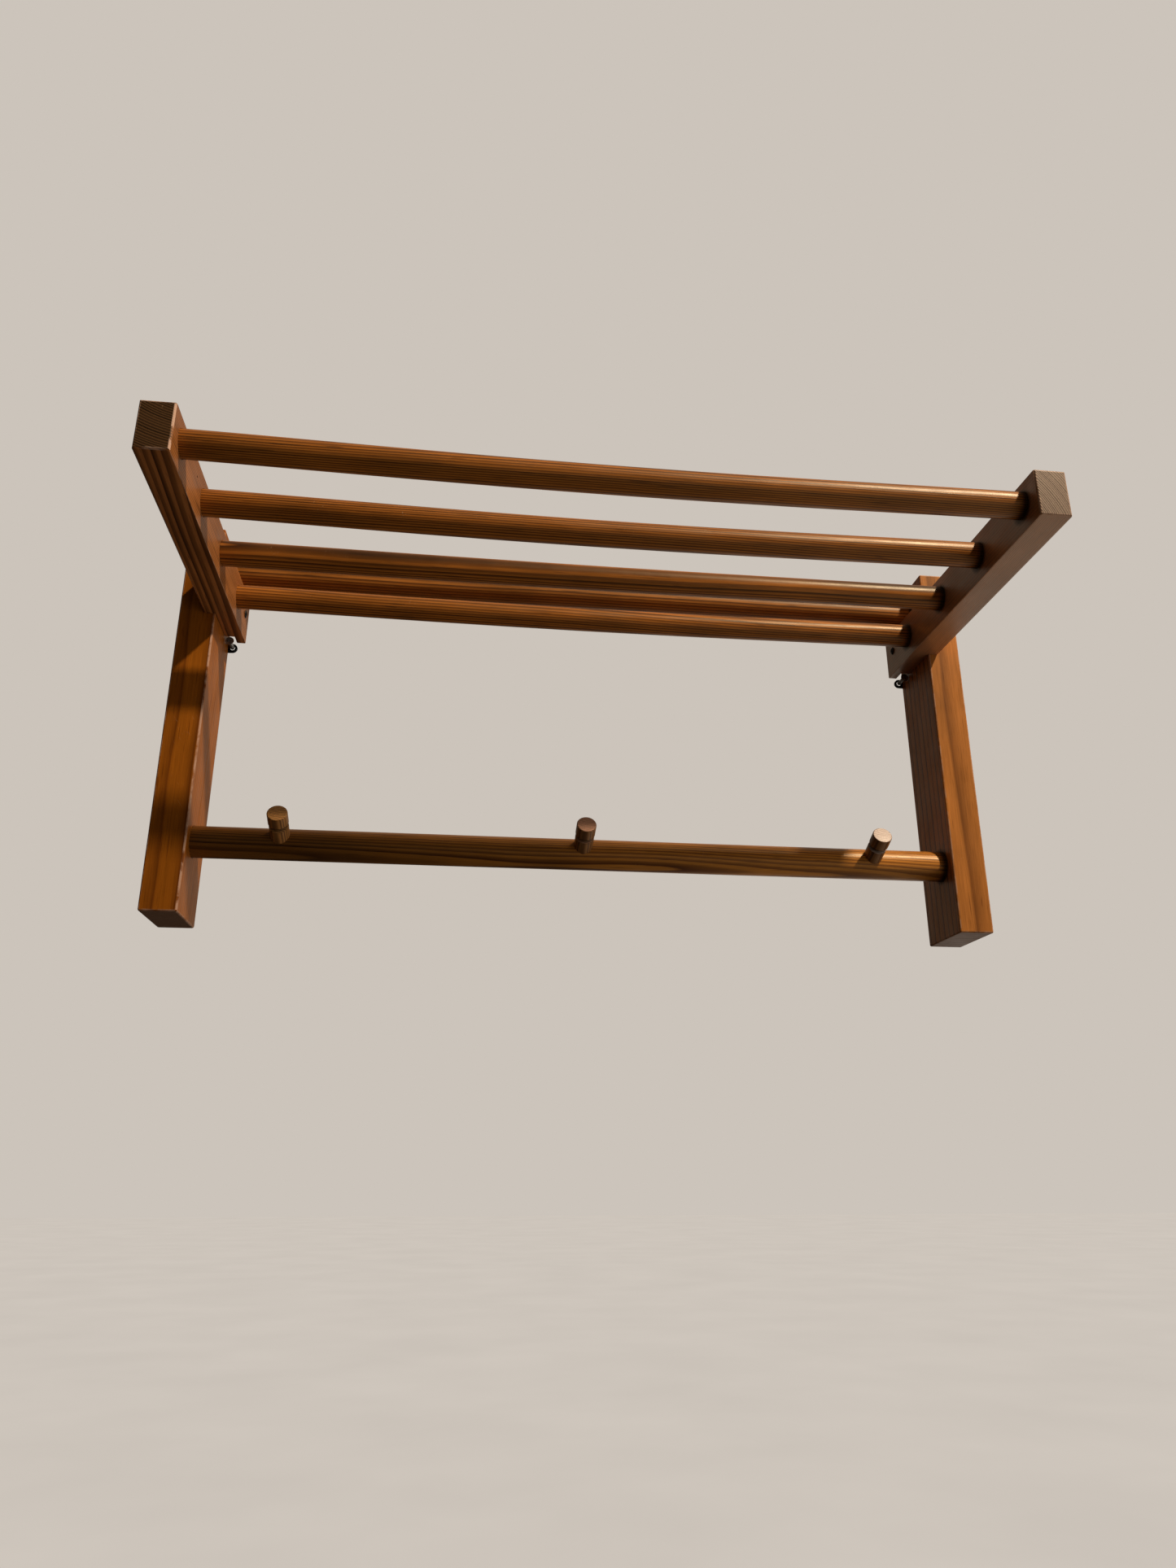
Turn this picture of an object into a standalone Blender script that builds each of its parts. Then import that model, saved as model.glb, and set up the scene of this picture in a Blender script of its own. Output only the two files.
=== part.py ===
"""Wall mounted folding hat and coat rack in stained pine.

Metres. X runs along the wall, the wall is the plane Y = 0 with the rack on its -Y side, and Z = 0 is the level
of the post bottoms. Two posts stand on the wall and carry a coat rail and a rear crossbar. A shelf of four rods
between two arms hangs on the crossbar by steel straps, rests against the front of the posts and folds up.
"""

import math

import bmesh
import bpy

OBJECT_NAME = "folding_coat_rack"
GAP = 0.0003

# Posts
RACK_WIDTH = 0.680
POST_WIDTH = 0.029
POST_DEPTH = 0.062
POST_HEIGHT = 0.335
POST_OUTER = RACK_WIDTH / 2
POST_INNER = POST_OUTER - POST_WIDTH
EASED_EDGE = 0.0014

# Round bars: radius, and Y and Z of the axis
CROSSBAR_RADIUS = 0.010
CROSSBAR_Y = -0.031
CROSSBAR_Z = 0.3075
CROSSBAR_AXIS = (CROSSBAR_Y, CROSSBAR_Z)
COAT_RAIL_RADIUS = 0.0128
COAT_RAIL_AXIS = (-0.0387, 0.0618)
ROD_RADIUS = 0.010
ROD_Y = (-0.2660, -0.1965, -0.1260, -0.0550)
ROD_Z_AT_FRONT = 0.2715
ROD_RISE = 0.0117
ROD_BOW = (0.0036, 0.0034, 0.0012, 0.0024)
ROD_STATIONS = 14
POST_SOCKET = 0.016
ARM_SOCKET = 0.012

# Arms: X of the faces, and the side outline, which rises slightly towards the wall
ARM_INNER = 0.2954
ARM_OUTER = 0.3191
TONGUE_OUTER = POST_INNER - GAP
ARM_FRONT_Y = -0.2890
ARM_REAR_Y = -0.0065
ARM_FRONT_BOTTOM = 0.2499
ARM_FRONT_TOP = 0.2875
ARM_REAR_BOTTOM = 0.2540
ARM_REAR_TOP = 0.2939
LAP_REAR_Y = -POST_DEPTH - GAP
FOLD_CLEARANCE = 0.0012

# Hinge strap and its screw
STRAP_THICKNESS = 0.0028
STRAP_EYE_BORE = CROSSBAR_RADIUS + 0.0004
STRAP_EYE_OUTER = 0.0142
STRAP_TAIL_RADIUS = 0.0058
HINGE_SCREW_AXIS = (-0.0226, 0.2752)
HINGE_SCREW_RADIUS = 0.0018
HINGE_SCREW_HEAD = 0.0034

# Wall screws and the plates that take them
WALL_SCREW_X = 0.3072
WALL_SCREW_Z = 0.2515
WALL_SCREW_HEAD_Y = -0.0165
WALL_SCREW_HEAD = 0.0036
WALL_SCREW_HEAD_DEPTH = 0.0024
WALL_SCREW_SHANK = 0.0018
NOTCH_ABOVE_SCREW = 0.0110
PLATE_THICKNESS = 0.0020
PLATE_OUTER = 0.3330
PLATE_END_RADIUS = 0.0050
PLATE_EAR_RADIUS = 0.0040
PLATE_SCREW_X = (0.3175, 0.3270)
PLATE_SCREW_RADIUS = 0.0014
PLATE_SCREW_HEAD = 0.0028
PLATE_SCREW_LENGTH = 0.0160

# Turned pegs on the coat rail
PEG_X = (("left", -0.2425), ("middle", 0.0), ("right", 0.2470))
PEG_TILT = math.radians(24)
PEG_RADIUS = 0.0077
PEG_HEAD_RADIUS = 0.0080
PEG_WAIST_RADIUS = 0.0050
PEG_REACH = 0.0385
PEG_WAIST_AT = 0.0255
PEG_BURIED = 0.003

ROUND_SEGMENTS = 32
FULL_TURN = 2 * math.pi

PINE = (0.42, 0.155, 0.038)
PINE_LIGHT = (0.50, 0.20, 0.050)
PINE_DARK = (0.27, 0.095, 0.028)
STEEL = (0.16, 0.16, 0.17)
STEEL_DARK = (0.05, 0.05, 0.055)


def clear_scene():
    for item in list(bpy.data.objects):
        bpy.data.objects.remove(item, do_unlink=True)


def new_collection(name):
    collection = bpy.data.collections.new(name)
    bpy.context.scene.collection.children.link(collection)
    return collection


def material(name, colour, roughness, metallic=0.0):
    made = bpy.data.materials.new(name)
    made.use_nodes = True
    shader = made.node_tree.nodes["Principled BSDF"]
    shader.inputs["Base Color"].default_value = (*colour, 1.0)
    shader.inputs["Roughness"].default_value = roughness
    shader.inputs["Metallic"].default_value = metallic
    return made


def add_object(name, data, collection):
    made = bpy.data.objects.new(name, data)
    collection.objects.link(made)
    return made


def bmesh_object(name, bm, collection):
    bmesh.ops.recalc_face_normals(bm, faces=bm.faces)
    mesh = bpy.data.meshes.new(name)
    bm.to_mesh(mesh)
    bm.free()
    return add_object(name, mesh, collection)


def box(name, collection, x, y, z):
    """A box between the pairs of limits x, y and z."""
    bm = bmesh.new()
    bmesh.ops.create_cube(bm, size=1.0)
    bmesh.ops.scale(bm, vec=(x[1] - x[0], y[1] - y[0], z[1] - z[0]), verts=bm.verts)
    made = bmesh_object(name, bm, collection)
    made.location = (sum(x) / 2, sum(y) / 2, sum(z) / 2)
    return made


def rod_along_x(name, collection, radius, x, centre):
    """A cylinder along X between the limits x; centre is the Y and Z of its axis."""
    bm = bmesh.new()
    bmesh.ops.create_cone(
        bm, cap_ends=True, segments=ROUND_SEGMENTS, radius1=radius, radius2=radius, depth=x[1] - x[0]
    )
    made = bmesh_object(name, bm, collection)
    made.location = (sum(x) / 2, *centre)
    made.rotation_euler = (0.0, math.radians(90), 0.0)
    return made


def rod_along_y(name, collection, y, centre, front_radius, wall_radius):
    """A cylinder or cone along Y between the limits y; centre is the X and Z of its axis."""
    bm = bmesh.new()
    bmesh.ops.create_cone(
        bm, cap_ends=True, segments=ROUND_SEGMENTS, radius1=wall_radius, radius2=front_radius, depth=y[1] - y[0]
    )
    made = bmesh_object(name, bm, collection)
    made.location = (centre[0], sum(y) / 2, centre[1])
    made.rotation_euler = (math.radians(90), 0.0, 0.0)
    return made


def flat_plate(name, collection, outlines, thickness):
    """A flat piece from closed outlines in its own plane; outlines that lie inside the first one are holes."""
    curve = bpy.data.curves.new(name, "CURVE")
    curve.dimensions = "2D"
    curve.fill_mode = "BOTH"
    curve.extrude = thickness / 2
    for points in outlines:
        spline = curve.splines.new("POLY")
        spline.points.add(len(points) - 1)
        for point, (across, up) in zip(spline.points, points):
            point.co = (across, up, 0.0, 1.0)
        spline.use_cyclic_u = True
    flat = bpy.data.objects.new(name + "_outline", curve)
    collection.objects.link(flat)
    evaluated = flat.evaluated_get(bpy.context.evaluated_depsgraph_get())
    mesh = bpy.data.meshes.new_from_object(evaluated)
    bpy.data.objects.remove(flat, do_unlink=True)
    bm = bmesh.new()
    bm.from_mesh(mesh)
    bpy.data.meshes.remove(mesh)
    bmesh.ops.remove_doubles(bm, verts=bm.verts, dist=0.00001)
    return bmesh_object(name, bm, collection)


def side_plate(name, collection, outlines, x, pivot):
    """A flat piece across X from (Y, Z) outlines, with its origin at the pivot's Y and Z."""
    from_pivot = [[(y - pivot[0], z - pivot[1]) for y, z in points] for points in outlines]
    made = flat_plate(name, collection, from_pivot, x[1] - x[0])
    made.location = (sum(x) / 2, *pivot)
    made.rotation_euler = (math.radians(90), 0.0, math.radians(90))
    return made


def wall_plate(name, collection, outline, y):
    """A flat piece parallel to the wall from an (X, Z) outline, between the limits y."""
    made = flat_plate(name, collection, [outline], y[1] - y[0])
    made.location = (0.0, sum(y) / 2, 0.0)
    made.rotation_euler = (math.radians(90), 0.0, 0.0)
    return made


def arc(centre, radius, start, end, steps):
    """Points on an arc, angles in radians from the first axis towards the second."""
    angles = [start + (end - start) * i / steps for i in range(steps + 1)]
    return [(centre[0] + radius * math.cos(a), centre[1] + radius * math.sin(a)) for a in angles]


def tapered_link(first, first_radius, second, second_radius, steps=18):
    """The outline of two round ends joined by their outer tangents."""
    across = second[0] - first[0]
    up = second[1] - first[1]
    heading = math.atan2(up, across)
    spread = math.acos((first_radius - second_radius) / math.hypot(across, up))
    big_end = arc(first, first_radius, heading + spread, heading + FULL_TURN - spread, steps)
    small_end = arc(second, second_radius, heading - spread, heading + spread, steps // 2)
    return big_end + small_end


def ease_edges(piece, width=EASED_EDGE):
    bevel = piece.modifiers.new("eased_edges", "BEVEL")
    bevel.width = width
    bevel.segments = 2
    bevel.limit_method = "ANGLE"
    bevel.angle_limit = math.radians(40)


def cut(piece, cutter):
    cutter.hide_render = True
    cutter.display_type = "WIRE"
    boolean = piece.modifiers.new(cutter.name, "BOOLEAN")
    boolean.operation = "DIFFERENCE"
    boolean.solver = "EXACT"
    boolean.object = cutter


def shade_round(piece):
    piece.data.shade_smooth()
    piece.data.set_sharp_from_angle(angle=math.radians(35))


def sided(side, low, high):
    """The X limits of something that spans low to high from the centre, on the side -1 or +1."""
    return (low, high) if side > 0 else (-high, -low)


def rod_height(y):
    return ROD_Z_AT_FRONT + ROD_RISE * (y - ROD_Y[0])


def plate_outline(side, margin=0.0):
    """The hanger plate's round ended outline, from its ear round the wall screw to its end in the post."""
    ear = (side * WALL_SCREW_X, WALL_SCREW_Z)
    end = (side * (PLATE_OUTER - PLATE_END_RADIUS), WALL_SCREW_Z)
    return tapered_link(ear, PLATE_EAR_RADIUS + margin, end, PLATE_END_RADIUS + margin, 12)


def make_post(label, side, parts, cutters):
    across = sided(side, POST_INNER, POST_OUTER)
    post = box(f"post_{label}", parts, across, (-POST_DEPTH, 0.0), (0.0, POST_HEIGHT))
    ease_edges(post)
    socket = sided(side, POST_INNER - 0.005, POST_INNER + POST_SOCKET + GAP)
    cut(post, rod_along_x(f"crossbar_socket_{label}", cutters, CROSSBAR_RADIUS + GAP, socket, CROSSBAR_AXIS))
    cut(post, rod_along_x(f"coat_rail_socket_{label}", cutters, COAT_RAIL_RADIUS + GAP, socket, COAT_RAIL_AXIS))
    recess_depth = (-PLATE_THICKNESS - 2 * GAP, 0.005)
    cut(post, wall_plate(f"plate_recess_{label}", cutters, plate_outline(side, GAP), recess_depth))
    hole_radius = PLATE_SCREW_RADIUS + GAP
    hole_depth = (-PLATE_SCREW_LENGTH - 2 * GAP, 0.005)
    for number, x in enumerate(PLATE_SCREW_X, 1):
        name = f"plate_screw_hole_{label}_{number}"
        cut(post, rod_along_y(name, cutters, hole_depth, (side * x, WALL_SCREW_Z), hole_radius, hole_radius))
    return post


def make_arm(label, side, parts, cutters):
    outline = [
        (ARM_FRONT_Y, ARM_FRONT_BOTTOM),
        (ARM_REAR_Y, ARM_REAR_BOTTOM),
        (ARM_REAR_Y, ARM_REAR_TOP),
        (ARM_FRONT_Y + 0.0004, ARM_FRONT_TOP),
    ]
    arm = side_plate(f"arm_{label}", parts, [outline], sided(side, ARM_INNER, ARM_OUTER), CROSSBAR_AXIS)
    ease_edges(arm)
    beside_post = sided(side, TONGUE_OUTER, ARM_OUTER + 0.005)
    height = (ARM_FRONT_BOTTOM - 0.01, ARM_REAR_TOP + 0.01)
    cut(arm, box(f"post_lap_{label}", cutters, beside_post, (LAP_REAR_Y, 0.01), height))
    post_corner = math.hypot(POST_DEPTH + CROSSBAR_Y, POST_HEIGHT - CROSSBAR_Z)
    relief_radius = post_corner + FOLD_CLEARANCE
    cut(arm, rod_along_x(f"fold_relief_{label}", cutters, relief_radius, beside_post, CROSSBAR_AXIS))
    socket = sided(side, ARM_INNER - 0.005, ARM_INNER + ARM_SOCKET + GAP)
    for number, y in enumerate(ROD_Y, 1):
        centre = (y, rod_height(y))
        cut(arm, rod_along_x(f"rod_socket_{label}_{number}", cutters, ROD_RADIUS + GAP, socket, centre))
    pocket = tapered_link(CROSSBAR_AXIS, STRAP_EYE_OUTER + GAP, HINGE_SCREW_AXIS, STRAP_TAIL_RADIUS + GAP)
    depth = sided(side, TONGUE_OUTER - STRAP_THICKNESS - 3 * GAP, TONGUE_OUTER + 0.004)
    cut(arm, side_plate(f"strap_pocket_{label}", cutters, [pocket], depth, CROSSBAR_AXIS))
    through = sided(side, ARM_INNER - 0.005, ARM_OUTER)
    hole_radius = HINGE_SCREW_RADIUS + GAP
    cut(arm, rod_along_x(f"hinge_screw_hole_{label}", cutters, hole_radius, through, HINGE_SCREW_AXIS))
    notch = box(
        f"wall_screw_notch_{label}",
        cutters,
        sided(side, WALL_SCREW_X - WALL_SCREW_HEAD - 0.001, ARM_OUTER),
        (WALL_SCREW_HEAD_Y - 0.0035, 0.01),
        (ARM_REAR_BOTTOM - 0.01, WALL_SCREW_Z + NOTCH_ABOVE_SCREW),
    )
    cut(arm, notch)
    return arm


def make_bar(name, radius, half_length, centre, parts):
    bar = rod_along_x(name, parts, radius, (-half_length, half_length), centre)
    shade_round(bar)
    return bar


def make_shelf_rod(name, y, bow, parts):
    """A round rod that use has bent down between the arms, with straight tenons in their sockets."""
    clear = ARM_INNER
    stations = [clear * (2 * i / ROD_STATIONS - 1) for i in range(ROD_STATIONS + 1)]
    course = [(x, -bow * max(0.0, 1 - (x / clear) ** 2) ** 1.5) for x in stations]
    tenon = clear + ARM_SOCKET
    course = [(-tenon, 0.0), *course, (tenon, 0.0)]
    curve = bpy.data.curves.new(name, "CURVE")
    curve.dimensions = "3D"
    curve.bevel_depth = ROD_RADIUS
    curve.bevel_resolution = ROUND_SEGMENTS // 2 - 2
    curve.use_fill_caps = True
    spline = curve.splines.new("POLY")
    spline.points.add(len(course) - 1)
    for point, (x, z) in zip(spline.points, course):
        point.co = (x, 0.0, z, 1.0)
    rod = add_object(name, curve, parts)
    rod.location = (0.0, y, rod_height(y))
    return rod


def make_hinge_strap(label, side, parts):
    outlines = [
        tapered_link(CROSSBAR_AXIS, STRAP_EYE_OUTER, HINGE_SCREW_AXIS, STRAP_TAIL_RADIUS),
        arc(CROSSBAR_AXIS, STRAP_EYE_BORE, 0.0, FULL_TURN, ROUND_SEGMENTS)[:-1],
        arc(HINGE_SCREW_AXIS, HINGE_SCREW_RADIUS + GAP, 0.0, FULL_TURN, 16)[:-1],
    ]
    outer = TONGUE_OUTER - GAP
    across = sided(side, outer - STRAP_THICKNESS, outer)
    return side_plate(f"hinge_strap_{label}", parts, outlines, across, CROSSBAR_AXIS)


def turned(name, profile, collection):
    """A solid turned about its own Z axis; the profile runs from the top down as (radius, height)."""
    bm = bmesh.new()
    corners = [bm.verts.new((radius, 0.0, height)) for radius, height in profile]
    for upper, lower in zip(corners, corners[1:]):
        bm.edges.new((upper, lower))
    mesh = bpy.data.meshes.new(name)
    bm.to_mesh(mesh)
    bm.free()
    piece = add_object(name, mesh, collection)
    screw = piece.modifiers.new("turned", "SCREW")
    screw.steps = ROUND_SEGMENTS
    screw.render_steps = ROUND_SEGMENTS
    screw.use_merge_vertices = True
    screw.merge_threshold = 0.00001
    return piece


def screw_profile(head_radius, head_height, shank_radius, length):
    """A domed head above Z = 0, and below it a shank with a short point."""
    return [
        (0.0, head_height),
        (head_radius * 0.62, head_height * 0.86),
        (head_radius, head_height * 0.35),
        (head_radius, 0.0),
        (shank_radius, 0.0),
        (shank_radius, 0.002 - length),
        (0.0, -length),
    ]


def countersunk_profile(head_radius, head_depth, shank_radius, length):
    """A flat head whose face is at Z = 0, tapering to a shank with a short point."""
    return [
        (0.0, 0.0),
        (head_radius, 0.0),
        (shank_radius, -head_depth),
        (shank_radius, 0.002 - length),
        (0.0, -length),
    ]


def make_hinge_screw(label, side, parts):
    """Enters the arm's inner face and ends in the strap."""
    length = TONGUE_OUTER - ARM_INNER - GAP
    profile = screw_profile(HINGE_SCREW_HEAD, 0.0014, HINGE_SCREW_RADIUS, length)
    screw = turned(f"hinge_screw_{label}", profile, parts)
    screw.location = (side * (ARM_INNER - GAP), *HINGE_SCREW_AXIS)
    screw.rotation_euler = (0.0, math.radians(-90 * side), 0.0)
    return screw


def make_wall_screw(label, side, parts):
    length = -WALL_SCREW_HEAD_Y - GAP
    profile = countersunk_profile(WALL_SCREW_HEAD, WALL_SCREW_HEAD_DEPTH, WALL_SCREW_SHANK, length)
    screw = turned(f"wall_screw_{label}", profile, parts)
    screw.location = (side * WALL_SCREW_X, WALL_SCREW_HEAD_Y, WALL_SCREW_Z)
    screw.rotation_euler = (math.radians(90), 0.0, 0.0)
    return screw


def make_hanger_plate(label, side, parts, cutters):
    depth = (-PLATE_THICKNESS - GAP, -GAP)
    plate = wall_plate(f"hanger_plate_{label}", parts, plate_outline(side), depth)
    hole_radius = WALL_SCREW_SHANK + GAP
    ear = (side * WALL_SCREW_X, WALL_SCREW_Z)
    cut(plate, rod_along_y(f"ear_hole_{label}", cutters, (-0.01, 0.01), ear, hole_radius, hole_radius))
    front_radius = PLATE_SCREW_RADIUS + GAP
    wall_radius = PLATE_SCREW_HEAD + 2 * GAP
    for number, x in enumerate(PLATE_SCREW_X, 1):
        name = f"plate_screw_seat_{label}_{number}"
        seat = (-PLATE_THICKNESS - 3 * GAP, 0.0)
        cut(plate, rod_along_y(name, cutters, seat, (side * x, WALL_SCREW_Z), front_radius, wall_radius))
    return plate


def make_plate_screw(name, x, parts):
    """A countersunk screw driven forwards into the back of the post."""
    sunk = 2 * GAP
    head_depth = PLATE_THICKNESS - sunk
    profile = countersunk_profile(PLATE_SCREW_HEAD, head_depth, PLATE_SCREW_RADIUS, PLATE_SCREW_LENGTH - sunk)
    screw = turned(name, profile, parts)
    screw.location = (x, -sunk, WALL_SCREW_Z)
    screw.rotation_euler = (math.radians(-90), 0.0, 0.0)
    return screw


def peg_profile():
    """From the head's face down to the end in the rail; Z = 0 is on the rail's axis."""
    return [
        (0.0, PEG_REACH),
        (PEG_HEAD_RADIUS - 0.0009, PEG_REACH),
        (PEG_HEAD_RADIUS, PEG_REACH - 0.0009),
        (PEG_RADIUS, PEG_WAIST_AT + 0.0022),
        (PEG_WAIST_RADIUS, PEG_WAIST_AT + 0.0004),
        (PEG_WAIST_RADIUS, PEG_WAIST_AT - 0.0004),
        (PEG_RADIUS, PEG_WAIST_AT - 0.0020),
        (PEG_RADIUS, -PEG_BURIED),
        (0.0, -PEG_BURIED),
    ]


def make_peg(name, x, rail, parts, cutters):
    """A peg in a hole drilled into the rail from the front, tilted up."""
    peg = turned(name, peg_profile(), parts)
    hole_radius = PEG_RADIUS + GAP
    hole_profile = [
        (0.0, PEG_REACH),
        (hole_radius, PEG_REACH),
        (hole_radius, -PEG_BURIED - GAP),
        (0.0, -PEG_BURIED - GAP),
    ]
    hole = turned(f"{name}_hole", hole_profile, cutters)
    for piece in (peg, hole):
        piece.location = (x, *COAT_RAIL_AXIS)
        piece.rotation_euler = (math.radians(90) - PEG_TILT, 0.0, 0.0)
    cut(rail, hole)
    return peg


def give(pieces, finish):
    for piece in pieces:
        piece.data.materials.clear()
        piece.data.materials.append(finish)


def hang_on_pivot(pieces, parts):
    """Parents the shelf's pieces to an empty on the crossbar's axis."""
    pivot = bpy.data.objects.new("shelf_pivot", None)
    parts.objects.link(pivot)
    pivot.location = (0.0, *CROSSBAR_AXIS)
    bpy.context.view_layer.update()
    for piece in pieces:
        piece.parent = pivot
        piece.matrix_parent_inverse = pivot.matrix_world.inverted()


def main():
    clear_scene()
    parts = new_collection(OBJECT_NAME)
    cutters = new_collection("cutters")
    sides = (("left", -1), ("right", 1))

    posts = [make_post(label, side, parts, cutters) for label, side in sides]
    bar_half = POST_INNER + POST_SOCKET
    crossbar = make_bar("rear_crossbar", CROSSBAR_RADIUS, bar_half, CROSSBAR_AXIS, parts)
    rail = make_bar("coat_rail", COAT_RAIL_RADIUS, bar_half, COAT_RAIL_AXIS, parts)
    pegs = [make_peg(f"peg_{label}", x, rail, parts, cutters) for label, x in PEG_X]
    plates = [make_hanger_plate(label, side, parts, cutters) for label, side in sides]
    plate_screws = [
        make_plate_screw(f"plate_screw_{label}_{number}", side * x, parts)
        for label, side in sides
        for number, x in enumerate(PLATE_SCREW_X, 1)
    ]
    wall_screws = [make_wall_screw(label, side, parts) for label, side in sides]

    arms = [make_arm(label, side, parts, cutters) for label, side in sides]
    rods = [
        make_shelf_rod(f"shelf_rod_{number}", y, bow, parts)
        for number, (y, bow) in enumerate(zip(ROD_Y, ROD_BOW), 1)
    ]
    straps = [make_hinge_strap(label, side, parts) for label, side in sides]
    hinge_screws = [make_hinge_screw(label, side, parts) for label, side in sides]
    hang_on_pivot(arms + rods + straps + hinge_screws, parts)

    give(posts, material("post_pine", PINE, 0.42))
    give(arms, material("arm_pine", PINE_DARK, 0.42))
    give([*rods, crossbar, rail], material("bar_pine", PINE_LIGHT, 0.32))
    give(pegs, material("peg_pine", PINE_DARK, 0.35))
    give(plates + straps, material("blackened_steel", STEEL_DARK, 0.5, 1.0))
    give(plate_screws + wall_screws + hinge_screws, material("screw_steel", STEEL, 0.38, 1.0))


main()
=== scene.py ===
"""Looks of the wall mounted folding hat and coat rack.

Metres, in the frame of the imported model: X along the wall, the wall at Y = 0 with the rack on its -Y side,
and Z up. Every wooden piece is a stick cut from its own imagined log: a pattern of growth rings round a
pith line, so the end grain, the quarter-sawn faces and the flat-sawn faces of a piece belong together.
"""

import math

import bmesh
import bpy
from mathutils import Matrix, Vector


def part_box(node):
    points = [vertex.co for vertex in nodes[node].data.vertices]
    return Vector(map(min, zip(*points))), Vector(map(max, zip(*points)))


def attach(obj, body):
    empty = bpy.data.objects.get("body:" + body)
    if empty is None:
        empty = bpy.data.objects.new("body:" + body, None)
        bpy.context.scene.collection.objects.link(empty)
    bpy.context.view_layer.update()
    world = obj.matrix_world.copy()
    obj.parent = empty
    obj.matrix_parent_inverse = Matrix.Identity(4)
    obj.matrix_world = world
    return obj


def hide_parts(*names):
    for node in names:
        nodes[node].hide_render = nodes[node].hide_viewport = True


MM = 0.001
UP = Vector((0.0, 0.0, 1.0))
SIDES = {"left": -1, "right": 1}

CAMERA_PLACE = (-0.1007, -0.9032, -0.1863)
CAMERA_TURN = (109.63, 0.0, -6.99)
CAMERA_LENS = 25.04
FLOOR_LEVEL = -1.25
LIT_SIDE = (0.72, 0.62, 0.30)

# How close two corners are when they count as one
SAME_PLACE = 0.002 * MM

# Bars: the shelf rods have sagged, and every bar is a little out of true
ROD_BOW_MM = {"shelf_rod_1": 3.6, "shelf_rod_2": 3.4, "shelf_rod_3": 1.2, "shelf_rod_4": 2.4}
BAR_UNEVENNESS = 0.16 * MM

# Pegs: the lean up from level in degrees, and the groove's place along the peg from the rail's axis
PEG_TILT = 24.0
PEG_GROOVE_AT = 25.5 * MM

# Screws: the thread's pitch, the point's length, each head's height, each shank's radius, and how far the
# hinge screws' heads stand off the arms
THREAD_PITCH = 1.25 * MM
SCREW_POINT = 2.2 * MM
WALL_SCREW_HEAD = 2.4 * MM
SMALL_SCREW_HEAD = 1.4 * MM
WIDE_SHANK = 1.8 * MM
NARROW_SHANK = 1.4 * MM
HINGE_HEAD_OFF = 0.3 * MM

# Marks of use: a nail's hole in the left arm (its Y and Z), chips on the left post, the X places of dents
# in the fronts of the rods; and, as wear and a painted highlight, how much paler the front inner left
# arrises are
NAIL_HOLE = (-0.221, 0.2776)
NAIL_RADIUS = 0.9 * MM
NAIL_DEPTH = 3 * MM
CHIPS_HEIGHT = 0.150
CHIPS_RADIUS = 16 * MM
DENTS_AT = {"shelf_rod_2": (-0.214, -0.150), "shelf_rod_3": (-0.255,), "shelf_rod_4": (-0.235,)}
DENT_RADIUS = 6 * MM
POST_ARRIS_WEAR_AND_HIGHLIGHT = 1.3
ARM_ARRIS_WEAR_AND_HIGHLIGHT = 7.0

# Painted shade where parts meet and in hollows: how far it fades out round a seat, the slab that darkens a
# bar's right end from just before its shoulder on, and the ball in a peg's groove
PAINTED_SHADE_FADE = 3.5 * MM
BAR_END_PAST_SHOULDER = 4 * MM
BAR_END_RADIUS = 6 * MM
GROOVE_SHADE_RADIUS = 5.3 * MM

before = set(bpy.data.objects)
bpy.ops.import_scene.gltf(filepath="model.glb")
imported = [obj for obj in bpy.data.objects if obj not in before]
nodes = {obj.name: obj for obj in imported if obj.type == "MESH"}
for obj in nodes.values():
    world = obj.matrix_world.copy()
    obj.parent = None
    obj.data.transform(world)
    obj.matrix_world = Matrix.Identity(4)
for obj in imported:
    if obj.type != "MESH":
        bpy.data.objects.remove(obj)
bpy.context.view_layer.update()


def middle(name):
    low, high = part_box(name)
    return (low + high) / 2


def reach(name):
    low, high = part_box(name)
    return high - low


ARM_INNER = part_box("arm_right")[0].x
POST_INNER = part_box("post_right")[0].x


# ---------------------------------------------------------------- node trees


def linear(hex_colour):
    """An sRGB colour written as RRGGBB, turned to the linear RGBA that the shaders take."""
    parts = [int(hex_colour[i : i + 2], 16) / 255 for i in (0, 2, 4)]
    lit = [p / 12.92 if p <= 0.04045 else ((p + 0.055) / 1.055) ** 2.4 for p in parts]
    return (*lit, 1.0)


def add(tree, kind, settings=None, inputs=None):
    """Adds a node; a value that is a socket is linked, and any other is set."""
    made = tree.nodes.new(kind)
    for key, value in (settings or {}).items():
        setattr(made, key, value)
    for key, value in (inputs or {}).items():
        if isinstance(value, bpy.types.NodeSocket):
            tree.links.new(value, made.inputs[key])
        else:
            made.inputs[key].default_value = value
    return made


def maths(tree, operation, first, second=0.0, third=0.0):
    inputs = {0: first, 1: second, 2: third}
    return add(tree, "ShaderNodeMath", {"operation": operation}, inputs).outputs[0]


def vectors(tree, operation, first, second=(0.0, 0.0, 0.0)):
    made = add(tree, "ShaderNodeVectorMath", {"operation": operation}, {0: first})
    where = made.inputs["Scale"] if operation == "SCALE" else made.inputs[1]
    if isinstance(second, bpy.types.NodeSocket):
        tree.links.new(second, where)
    else:
        where.default_value = second
    return made.outputs["Value" if operation in ("LENGTH", "DOT_PRODUCT") else "Vector"]


def cloud(tree, place, stretch, detail=2.0, roughness=0.5):
    """A 3-D noise whose cells are 1 / stretch across, in the units of the place that it reads."""
    where = vectors(tree, "MULTIPLY", place, stretch)
    inputs = {"Vector": where, "Scale": 1.0, "Detail": detail, "Roughness": roughness}
    return add(tree, "ShaderNodeTexNoise", {"noise_dimensions": "3D"}, inputs)


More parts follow.
